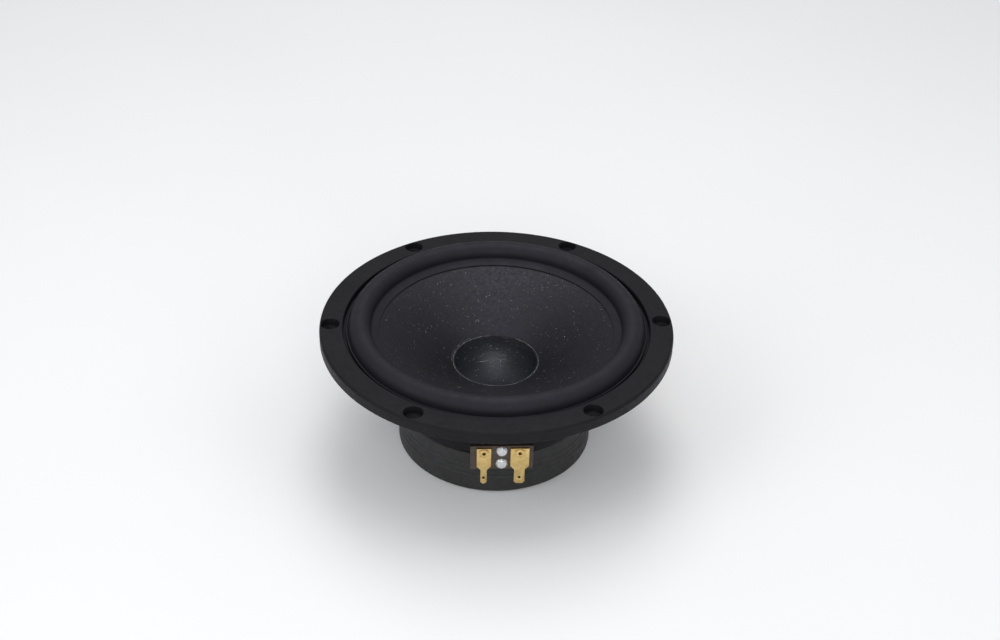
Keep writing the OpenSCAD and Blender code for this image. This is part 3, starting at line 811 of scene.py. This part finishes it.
def basket(coat):
    floor_top = FLOOR_Z + PAN_FLOOR_T
    rim = rounded([
        (COLLAR_IN_R, COLLAR_Z, 0.8), (COLLAR_R, COLLAR_Z, 0.8), (COLLAR_R, 0, 0.4),
        (FLANGE_R, 0, 0.5), (FLANGE_R, FLANGE_Z, 1.4), (GROOVE_R, FLANGE_Z, 0.6),
        (GROOVE_R, SEAT_Z, 0.2), (COLLAR_IN_R, SEAT_Z, 0.4),
    ], 0.4, 5)
    pan = rounded([
        (PAN_HOLE_R, FLOOR_Z, 0.3), (PAN_R, FLOOR_Z, 1.2), (PAN_R, SHELF_Z + 1, 0.4),
        (SHELF_RIM_R, SHELF_Z + 1, 0.3), (SHELF_RIM_R, SHELF_Z, 0.15), (SHELF_IN_R, SHELF_Z, 0.3),
        (SHELF_IN_R, SHELF_Z - SHELF_T, 0.3), (PAN_IN_R, SHELF_Z - SHELF_T, 1.2),
        (PAN_IN_R, floor_top, 1.2), (PAN_HOLE_R, floor_top, 0.4),
    ], 0.4, 4)
    added = [revolved(pan, 240)]
    for k in range(HOLES):
        angle = (k + 0.5) * 360 / HOLES
        added.append(arm_shell(angle))
        if angle != TERMINAL_ARM:
            added.append(arm_shell(angle, RIB_PROUD, RIB_W))
    low, high = box_mm("terminal_board")
    added.append(block(
        (-BLOCK_HALF_W, BOARD_BACK_Y, low[2] + 1.5), (BLOCK_HALF_W, BLOCK_IN_Y, high[2] - 0.5), 0.8
    ))

    hole = revolved([
        (0, -1), (HOLE_R + 0.5, -1), (HOLE_R + 0.4, 0), (HOLE_R, 0.4), (HOLE_R, RECESS_Z - 0.2),
        (HOLE_R + 0.2, RECESS_Z), (RECESS_R, RECESS_Z),
        *arc((RECESS_R + 0.6, FLANGE_Z - 0.6), 0.6, 180, 90, 4),
        (RECESS_R + 0.6, FLANGE_Z + 1), (0, FLANGE_Z + 1),
    ], 64, False)
    vent = revolved([
        (0, FLOOR_Z - 1), (FLOOR_VENT_R, FLOOR_Z - 1), (FLOOR_VENT_R, floor_top + 1), (0, floor_top + 1),
    ], 32, False)
    screw_seat = revolved([
        (0, FLOOR_Z - 1), (SCREW_HOLE_R, FLOOR_Z - 1), (SCREW_HOLE_R, floor_top - SCREW_HEAD_T),
        (SCREW_HEAD_R, floor_top + 0.03), (SCREW_HEAD_R, floor_top + 1), (0, floor_top + 1),
    ], 48, False)
    cut = in_ring(hole, HOLES, HOLE_RING_R, 0) + in_ring(vent, FLOOR_VENTS, FLOOR_VENT_RING_R)
    cut += in_ring(screw_seat, MOTOR_SCREWS, SCREW_RING_R)
    mesh = combined(revolved(rim, 288), added, cut)
    obj = piece_from_mesh("basket_casting", mesh, [coat], "powder_coat", "basket", "frame", 32)
    obj.modifiers.new("even_normals", "WEIGHTED_NORMAL").keep_sharp = True


def surround(rubber):
    inner_leg, outer_leg = ROLL_MID_R - ROLL_R, ROLL_MID_R + ROLL_R
    rim_r = radius("surround")
    centre = (ROLL_MID_R, ROLL_MID_Z)
    outline = [
        (LIP_R, cone_front(LIP_R) + GLUE, 0.05),
        (inner_leg + RUBBER_T, cone_front(inner_leg + RUBBER_T) + GLUE, 0.3),
        *[(r, z, 0) for r, z in arc(centre, ROLL_R - RUBBER_T, 180, 0, 40)],
        (outer_leg - RUBBER_T, SEAT_Z, 0.2),
        (rim_r, SEAT_Z, 0.1),
        (rim_r, SEAT_Z + RUBBER_T + RIM_W, 0.25),
        (rim_r - RIM_W, SEAT_Z + RUBBER_T + RIM_W, 0.25),
        (rim_r - RIM_W, SEAT_Z + RUBBER_T, 0.25),
        (outer_leg, SEAT_Z + RUBBER_T, 0.35),
        *[(r, z, 0) for r, z in arc(centre, ROLL_R, 4, 180, 56)],
        (inner_leg, cone_front(inner_leg) + LIP_T, 0.7),
        (LIP_R, cone_front(LIP_R) + LIP_T, 0.22),
    ]
    roll = revolved(rounded(outline, 0.2, 5), 360)
    obj = piece("surround_roll", [roll], [rubber], "surround_rubber", "surround")
    blend_rings(obj)


def spider(cloth):
    rows = np.linspace(0, 1, 76)
    r = SPIDER_IN_R + (SPIDER_FLAT_R - SPIDER_IN_R) * rows
    fade = np.minimum(1, SPIDER_TAPER * np.minimum(rows, 1 - rows))
    middle = SPIDER_MID_Z + SPIDER_AMP * fade * np.sin(TURN * SPIDER_WAVES * rows)
    rim = radius("spider")
    half = SPIDER_T / 2
    upper = [(a, b + half) for a, b in zip(r, middle) if a > SPIDER_IN_R + SPIDER_T]
    lower = [(a, b - half) for a, b in zip(r[::-1], middle[::-1])]
    outline = [
        (SPIDER_IN_R, SPIDER_NECK_Z), (SPIDER_IN_R + SPIDER_T, SPIDER_NECK_Z), *upper,
        (rim, SHELF_Z + SPIDER_T), (rim, SHELF_Z), *lower,
    ]
    points, faces = revolved(outline, 560)
    weave = np.sin(TURN * points[:, 0] / CLOTH_PITCH) * np.sin(TURN * points[:, 1] / CLOTH_PITCH)
    inside = (np.hypot(points[:, 0], points[:, 1]) < SPIDER_FLAT_R) & (points[:, 2] < SPIDER_NECK_Z - 0.3)
    points[:, 2] += np.where(inside, 0.035 * weave, 0)
    obj = piece("spider_disc", [(points, faces)], [cloth], "spider_cloth", "spider")
    blend_rings(obj)


def boot(rubber):
    grooves = []
    for z in BOOT_GROOVES[::-1]:
        grooves += [(BOOT_R, z - 0.6, 0.25), (BOOT_R - 0.5, z, 0.45), (BOOT_R, z + 0.6, 0.25)]
    outline = rounded([
        (BOOT_HOLE_R, BOOT_LOW_Z, 0.4), (BOOT_R - 2.0, BOOT_LOW_Z, 1.2), (BOOT_R, BOOT_LOW_Z + 2.0, 1.2),
        *grooves,
        (BOOT_R, BOOT_TOP_Z, 0.9), (BOOT_LIP_R, BOOT_TOP_Z, 0.5), (BOOT_LIP_R, MAGNET_TOP_Z + 0.1, 0.2),
        (MAGNET_R + 0.2, MAGNET_TOP_Z + 0.1), (MAGNET_R + 0.2, MAGNET_LOW_Z - 0.1),
        (PLATE_R + 0.2, MAGNET_LOW_Z - 0.1), (PLATE_R + 0.2, MOTOR_END_Z - 0.1),
        (BOOT_HOLE_R, MOTOR_END_Z - 0.1, 0.4),
    ], 0.2, 5)
    piece("magnet_boot_skin", [revolved(outline, 288)], [rubber], "boot_rubber", "magnet_boot", "frame", 50)


def vent_screen(wire):
    """Woven wire held in a flat crimped ring."""
    pitch, wire_r, swing = 1.15, 0.16, 0.17
    reach = SCREEN_R - 0.9
    shapes = []
    count = int(reach / pitch)
    for axis in (0, 1):
        for k in range(-count, count + 1):
            offset = k * pitch
            half = math.sqrt(reach**2 - offset**2)
            along = np.linspace(-half, half, max(12, int(half * 9)))
            up = SCREEN_Z + swing * np.cos(math.pi * (along / pitch + k + axis))
            fixed = np.full(len(along), offset)
            path = np.stack([along, fixed, up] if axis == 0 else [fixed, along, up], -1)
            shapes.append(tube(path, wire_r, 6))
    inner, low, high = SCREEN_R - 1.3, SCREEN_Z - 0.38, SCREEN_Z + 0.38
    ring = rounded([(inner, low), (SCREEN_R, low), (SCREEN_R, high), (inner, high)], 0.2, 3)
    shapes.append(revolved(ring, 96))
    piece("vent_mesh", shapes, [wire], "screen_mesh", "vent_screen", "frame", 50)


def anchor_polar(side):
    """Radius and angle of a lead's anchor; side is 1 or -1."""
    return math.hypot(*ANCHOR), math.atan2(ANCHOR[1], side * ANCHOR[0])


def lead(side, name, node, braid):
    """A flexible lead of twisted strands, from its solder joint to the cone."""
    anchor_r, a = anchor_polar(side)
    route = [(side * x, y, z) for x, y, z in LEAD_ROUTE]
    for r, drop in ((anchor_r + 0.9, LEAD_END_DROP + 1.8), (anchor_r, LEAD_END_DROP)):
        route.append((r * math.cos(a), r * math.sin(a), cone_back(r) - drop))
    wires = strands(smooth_path(route, 12), 6, 0.2, 0.4, side * 6.5, 8)
    obj = piece(name, wires, [braid], "tinsel", node, sharp=70)
    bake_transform(obj)


def solder_joints(metal):
    """A fillet of solder round each lead's end, on the inner face of its eyelet."""
    low, high = box_mm("solder_joints")
    height = high[1] - low[1]
    outline = [(0, 0)] + [(0.62 + 0.88 * (1 - t) ** 2.4, t * height) for t in np.linspace(0, 0.92, 10)]
    outline += [(0.35, height), (0, height)]
    bead = revolved(outline, 48, False)
    shapes = []
    for side in (-1, 1):
        x = side * EYELET_X
        place = Matrix.Translation((x, low[1], EYELET_Z)) @ Matrix.Rotation(-math.pi / 2, 4, "X")
        points, faces = placed(bead, place)
        wobble = 1 + 0.05 * ripple(points, 1.6, 31 + side)
        points[:, 0] = x + (points[:, 0] - x) * wobble
        points[:, 2] = EYELET_Z + (points[:, 2] - EYELET_Z) * wobble
        shapes.append((points, faces))
    piece("solder_fillets", shapes, [metal], "solder", "solder_joints", "frame", welded=True)


# ---- cone side pieces ----


def on_surface(height, slope, r, angle):
    """A point on a turned surface with its unit vectors outwards, round and up."""
    tilt = math.atan(slope(r))
    out = np.array([math.cos(angle) * math.cos(tilt), math.sin(angle) * math.cos(tilt), math.sin(tilt)])
    round_ = np.array([-math.sin(angle), math.cos(angle), 0.0])
    up = np.cross(out, round_)
    return np.array([r * math.cos(angle), r * math.sin(angle), height(r)]), out, round_, up


def fleck(place, size, rng):
    """A small pale speck of pulp, about round: a low dome on the surface."""
    at, out, round_, up = place
    count, lift = 7, 0.01
    a = np.arange(count) * TURN / count + rng.uniform(0, 1)
    spread = size * rng.uniform(0.85, 1.15, count)
    squash = rng.uniform(0.75, 1.0)
    rim = [
        at + s * (math.cos(b) * out + squash * math.sin(b) * round_) + lift * up
        for s, b in zip(spread, a)
    ]
    points = np.array([at + up * (lift + 0.35 * size), *rim])
    return points, [[0, 1 + k, 1 + (k + 1) % count] for k in range(count)]


def fibre(place, length, width, rng, heading=None):
    """A thin curved fibre that lies on the surface, at random or with its middle along a heading."""
    at, out, round_, up = place
    heading = rng.uniform(0, TURN) if heading is None else heading
    curl = rng.uniform(-0.5, 0.5) * min(1, 2.5 / length)
    count, lift = 9, 0.012
    p = at - 0.5 * length * (math.cos(heading) * out + math.sin(heading) * round_)
    left, top, right = [], [], []
    for k in range(count):
        h = heading + curl * (2 * k / (count - 1) - 1) * 1.6
        ahead = math.cos(h) * out + math.sin(h) * round_
        across = np.cross(up, ahead)
        w = width * (0.35 + 0.65 * math.sin(math.pi * (k + 0.5) / count)) / 2
        left.append(p + across * w + lift * up)
        top.append(p + (lift + w) * up)
        right.append(p - across * w + lift * up)
        p = p + ahead * length / (count - 1)
    faces = [[i, i + 1, count + i + 1, count + i] for k in range(count - 1) for i in (k, count + k)]
    return np.array(left + top + right), faces


def scattered(height, slope, inner_r, outer_r, flecks, fibres, largest, seed):
    """Pale flecks and fibres spread over a turned surface, evenly by area, as material 1."""
    rng = np.random.default_rng(seed)
    shapes = []
    smallest = 0.055
    for k in range(flecks + fibres):
        r = math.sqrt(rng.uniform(inner_r**2, outer_r**2))
        place = on_surface(height, slope, r, rng.uniform(0, TURN))
        if k < flecks:
            made = fleck(place, smallest + (largest - smallest) * rng.uniform(0, 1) ** 3, rng)
        else:
            made = fibre(place, rng.uniform(0.8, 2.6), rng.uniform(0.05, 0.1), rng)
        shapes.append((*made, 1))
    return shapes


def cone(paper, pale):
    front = np.linspace(NECK_IN_R, CONE_R, 92)
    back = np.linspace(NECK_OUT_R, CONE_R, 60)
    outline = [(NECK_IN_R, NECK_Z), (NECK_OUT_R, NECK_Z)]
    outline += [(r, cone_back(r)) for r in back]
    outline += [(r, cone_front(r)) for r in front[::-1]]
    points, faces = revolved(outline, 420)
    r = np.hypot(points[:, 0], points[:, 1])
    relief = 0.022 * ripple(points, 5.0, 7) + 0.012 * ripple(points, 1.9, 8, 60)
    on_front = points[:, 2] > cone_front(r) - PAPER_DROP / 2
    free = np.clip((LIP_R - 0.4 - r) / 2, 0, 1) * np.clip((r - CAP_R - 1.2) / 2, 0, 1)
    behind = np.clip((r - 38) / 3, 0, 1) * np.clip((CONE_R - 1.5 - r) / 2, 0, 1)
    points[:, 2] += relief * np.where(on_front, free, 0.8 * behind)

    def height(r):
        return cone_front(r) + 0.015

    specks = scattered(height, cone_slope, CAP_R + 1.6, LIP_R - 0.8, 700, 8, 0.19, 11)
    piece("cone_body", [(points, faces), *specks], [paper, pale], "cone_paper", "cone", "cone_assembly", 50)


def dust_cap(paper, pale):
    foot_drop = CAP_T / math.cos(math.asin(CAP_R / CAP_SPHERE_R))
    outer = [(r, cap_height(r)) for r in np.linspace(0, CAP_R, 46)]
    inner_edge = CAP_R - foot_drop * CAP_R / CAP_SPHERE_R - 0.1
    inner = [
        (r, max(cap_height(r) - CAP_T * (1 + 0.2 * (r / CAP_R) ** 2), CAP_FOOT_Z))
        for r in np.linspace(0, inner_edge, 40)
    ]
    points, faces = revolved(inner + outer[::-1], 240, False)
    r = np.hypot(points[:, 0], points[:, 1])
    points[:, 2] += 0.012 * ripple(points, 3.0, 21) * np.clip((CAP_R - 0.8 - r) / 2, 0, 1)
    shapes = [(points, faces)]

    def height(r):
        return cap_height(r) + 0.012

    def slope(r):
        return -r / math.sqrt(CAP_SPHERE_R**2 - r**2)

    shapes += scattered(height, slope, 0.5, CAP_R - 1.5, 90, 3, 0.2, 12)
    shapes += scattered(height, slope, 0.5, CAP_R * 0.6, 26, 0, 0.24, 14)
    rng = np.random.default_rng(13)
    for x, y, length, width in CAP_HAIRS:
        angle = math.atan2(y, x)
        hair = fibre(on_surface(height, slope, math.hypot(x, y), angle), length, width, rng, -angle)
        shapes.append((*hair, 1))
    piece("cap_dome", shapes, [paper, pale], "cap_paper", "dust_cap", "cone_assembly", 50, welded=True)


def glue_bead(glint_look, dark):
    """The dark fillet of adhesive round the cap's foot, and pale lines along it that are painted glints of
    the bead's edges.
    """
    foot_r = CAP_R + 0.02
    top_r = CAP_R - 0.45
    reach_r = CAP_R + 0.75
    fillet = [(foot_r, cone_front(foot_r) + 0.03), (reach_r, cone_front(reach_r) + 0.03)]
    fillet += [(reach_r - 0.35, cone_front(reach_r) + 0.06), (foot_r + 0.1, cone_front(foot_r) + 0.28)]
    fillet += [(top_r, cap_height(top_r) + 0.05), (top_r, cap_height(top_r) + 0.02)]
    shapes = [(*revolved(fillet, 240), 1)]

    # The pale ring just outside the cap is a painted glint of the bead's edge, drawn as a thin tube.
    count = 420
    a = np.arange(count) * TURN / count
    round_ = np.stack([np.cos(a), np.sin(a)], -1) * 10
    r = CAP_R + 0.26 + 0.06 * ripple(round_, 6, 41) + 0.02 * ripple(round_, 1.5, 42)
    fillet_top = np.interp(r, [foot_r + 0.1, reach_r - 0.35], [fillet[3][1], fillet[2][1]])
    thick = 0.060 + 0.018 * ripple(round_, 2.2, 43)
    # Near the back the painted glint sinks into the fillet, so it fades there.
    sunk = 0.14 * np.exp(-((a - math.radians(75)) / 0.5) ** 2)
    path = np.stack([r * np.cos(a), r * np.sin(a), fillet_top + 0.02 - sunk], -1)
    shapes.append(loop_tube(path, np.clip(thick, 0.035, 0.10), 8))

    # A second pale line on the back left, just outside the fillet, is another painted glint of the bead's
    # edge.
    part = np.radians(np.linspace(122, 182, 96))
    round_ = np.stack([np.cos(part), np.sin(part)], -1) * 10
    r = CAP_R + 1.1 + 0.08 * ripple(round_, 5, 44)
    path = np.stack([r * np.cos(part), r * np.sin(part), cone_front(r) + 0.03], -1)
    shapes.append(tube(path, 0.036 + 0.01 * np.sin(np.linspace(0, 21, 96)), 8))
    piece("cap_adhesive_ring", shapes, [glint_look, dark], "pale_adhesive", "cap_glue_bead", "cone_assembly")


def winding(copper):
    """Turns of round wire, side by side, over an inner layer."""
    pitch = 0.5
    turns = int((COIL_TOP_Z - COIL_LOW_Z) / pitch)
    outline = [(FORMER_R, COIL_LOW_Z)]
    for k in range(turns):
        outline += arc((COIL_R - pitch / 2, COIL_LOW_Z + (k + 0.5) * pitch), pitch / 2, -80, 80, 6)
    coil = revolved([*outline, (FORMER_R, COIL_TOP_Z)], 128)
    piece("coil_turns", [coil], [copper], "copper_wire", "voice_coil_winding", "cone_assembly")


def coil_lead(side, name, node, copper):
    """The enamelled wire from the anchor along the cone's rear and down the former."""
    anchor_r, a = anchor_polar(side)
    flat = [(r, cone_back(r) - COIL_LEAD_DROP) for r in np.arange(anchor_r - ANCHOR_R - 0.1, 16, -3)]
    beside = FORMER_R + 0.32
    down = [
        (14.8, cone_back(14.8) - COIL_LEAD_DROP), (14.3, NECK_Z + 0.6), (14.0, NECK_Z - 0.4),
        (beside, NECK_Z - 1.2), (beside, -26), (beside, COIL_TOP_Z + 0.1),
    ]
    path = smooth_path([(r * math.cos(a), r * math.sin(a), z) for r, z in flat + down], 6)
    piece(name, [tube(path, COIL_LEAD_R, 10)], [copper], "copper_wire", node, "cone_assembly")


def anchor_dab(side, name, node, adhesive, seed):
    """A dab of black adhesive that holds a lead's end on the cone's rear."""
    rows = np.linspace(0, 1, 14)
    outline = [(ANCHOR_R * math.sin(t * math.pi / 2), -1.15 * math.cos(t * math.pi / 2)) for t in rows]
    points, faces = revolved(outline + [(ANCHOR_R, 0), (0, 0)], 64, False)
    spread = 1 + 0.10 * ripple(points, 2.4, seed)
    points = points * np.column_stack([spread, spread, 0.9 + 0.1 * spread])
    r, a = anchor_polar(side)
    place = Matrix.Translation((r * math.cos(a), r * math.sin(a), cone_back(r) - 0.02))
    place = place @ Matrix.Rotation(a, 4, "Z") @ Matrix.Rotation(-math.atan(cone_slope(r)), 4, "Y")
    dab = placed((points, faces), place)
    piece(name, [dab], [adhesive], "black_adhesive", node, "cone_assembly", welded=True)


def neck_ring(adhesive):
    low, high = low_z("neck_adhesive"), high_z("neck_adhesive")
    inner, outer = NECK_IN_R, radius("neck_adhesive")
    outline = [(inner, low), (outer, low), (outer, high - 0.5), (outer - 0.5, high), (inner, high)]
    points, faces = revolved(rounded(outline, 0.25, 4), 160)
    points[:, 2] += 0.06 * ripple(points, 3.0, 51)
    fillet = (points, faces)
    piece("neck_glue_fillet", [fillet], [adhesive], "black_adhesive", "neck_adhesive", "cone_assembly")


def former(film):
    """A thin tube of film."""
    low, high = low_z("voice_coil_former"), high_z("voice_coil_former")
    inner = FORMER_R - FORMER_T
    wall = revolved(rounded([(inner, low), (FORMER_R, low), (FORMER_R, high), (inner, high)], 0.06, 2), 192)
    piece("former_tube", [wall], [film], "former_film", "voice_coil_former", "cone_assembly", 50)


# ---- stage, lights and camera ----


def floor():
    look = Look("pale_floor", (0.93, 0.93, 0.925), 0.75, specular_ior_level=0.2)
    look.colour(look.noise(300, 3), (0.92, 0.92, 0.915), (0.945, 0.945, 0.94))
    half, z = 6000, BOOT_LOW_Z - 0.02
    corners = np.array([(-half, -half, z), (half, -half, z), (half, half, z), (-half, half, z)], float)
    mesh = new_mesh("floor", [(corners, [[0, 1, 2, 3]])])
    mesh.materials.append(look.material)
    new_object("floor", mesh)


def area_light(name, power, place, colour=(1, 1, 1)):
    """A round lamp that faces the origin."""
    data = bpy.data.lights.new(name, "AREA")
    data.shape = "DISK"
    data.size = 0.7
    data.energy = power
    data.color = colour
    obj = new_object(name, data)
    obj.location = place
    obj.rotation_mode = "QUATERNION"
    obj.rotation_quaternion = (Vector((0, 0, 0)) - Vector(place)).to_track_quat("-Z", "Y")


def lights():
    world = bpy.data.worlds.new("studio")
    world.use_nodes = True
    background = world.node_tree.nodes["Background"]
    background.inputs["Color"].default_value = (0.93, 0.95, 1.0, 1)
    background.inputs["Strength"].default_value = 0.40
    bpy.context.scene.world = world
    area_light("overhead", 2.8, (0.03, 0.05, 1.3))
    area_light("rear_key", 3.6, (0, 0.65, 1.13), (1.0, 0.985, 0.96))
    area_light("left_high", 1.0, (-0.65, 0, 1.13))
    area_light("right_high", 1.0, (0.65, 0, 1.13))
    area_light("front_fill", 4.2, (0, -1.1, 0.69))
    area_light("left_fill", 3.2, (-0.92, -0.53, 0.75), (0.96, 0.98, 1.0))
    area_light("right_fill", 1.2, (0.92, -0.53, 0.75))
    bpy.context.scene.view_settings.view_transform = "Standard"


def camera():
    """The photograph's viewpoint: in front of the speaker and a little to its left, looking down at it."""
    place = (-0.0330, -0.5616, 0.3954)
    heading, pitch, roll = 0.0614, 0.6040, 0.0268
    east, north, level = math.sin(heading), math.cos(heading), math.cos(pitch)
    ahead = Vector((level * east, level * north, -math.sin(pitch)))
    right = Vector((north, -east, 0))
    up = right.cross(ahead)
    data = bpy.data.cameras.new("camera")
    data.sensor_width = 36
    data.lens = 52.4
    data.clip_start = 0.01
    obj = new_object("camera", data)
    turn = Matrix((right, up, -ahead)).transposed() @ Matrix.Rotation(roll, 3, "Z")
    obj.matrix_world = Matrix.Translation(place) @ turn.to_4x4()
    bpy.context.scene.camera = obj


# ---- assembly ----

camera()
lights()
floor()

coat = powder_coat()
steel = plated_steel()
brass = stamped_metal("stamped_brass", (0.55, 0.38, 0.14), (0.74, 0.55, 0.24), 0.22, 0.40)
rivet_metal = stamped_metal("plain_aluminium", (0.55, 0.56, 0.57), (0.70, 0.71, 0.72), 0.26, 0.44)
copper = enamelled_copper()
black_glue = dark_adhesive("black_adhesive", (0.012, 0.012, 0.013), 0.18, 0.36, 0.6)
fleck_look = pale_fleck()
braid = tinsel()

basket(coat)
surround(surround_rubber())
spider(spider_cloth())
boot(boot_rubber())
vent_screen(wire_steel())
lead(1, "lead_braid_positive", "lead_positive", braid)
lead(-1, "lead_braid_negative", "lead_negative", braid)
solder_joints(solder())

# The turned and stamped parts keep their CAD shape, with their edges eased
for node, name, width, look, slot in (
    ("top_plate", "top_plate_disc", 0.2, steel, "plated_steel"),
    ("magnet", "magnet_ring", 0.25, ferrite(), "ferrite"),
    ("back_plate", "back_plate_disc", 0.2, steel, "plated_steel"),
    ("pole_piece", "pole_core", 0.2, steel, "plated_steel"),
    ("motor_screws", "motor_screw_set", 0.12, dark_steel(), "screw_steel"),
    ("terminal_board", "board_laminate", 0.15, fibre_board(), "fibre_board"),
    ("terminal_positive", "tab_wide", 0.1, brass, "tab_brass"),
    ("terminal_negative", "tab_narrow", 0.1, brass, "tab_brass"),
    ("tab_eyelets", "eyelet_pair", 0.1, brass, "tab_brass"),
    ("board_rivets", "rivet_pair", 0.15, rivet_metal, "rivet_aluminium"),
):
    piece_from_mesh(name, softened_mesh(node, width), [look], slot, node, "frame", 35)

cone(cone_paper(), fleck_look)
dust_cap(cap_paper(), fleck_look)
glue_bead(pale_adhesive(), dark_adhesive("cap_adhesive_fillet", (0.004, 0.0045, 0.0055), 0.5, 0.65, 0.25))
former(amber_film())
winding(copper)
coil_lead(1, "coil_wire_positive", "coil_lead_positive", copper)
coil_lead(-1, "coil_wire_negative", "coil_lead_negative", copper)
anchor_dab(1, "anchor_dab_positive", "lead_anchor_positive", black_glue, 61)
anchor_dab(-1, "anchor_dab_negative", "lead_anchor_negative", black_glue, 62)
neck_ring(black_glue)
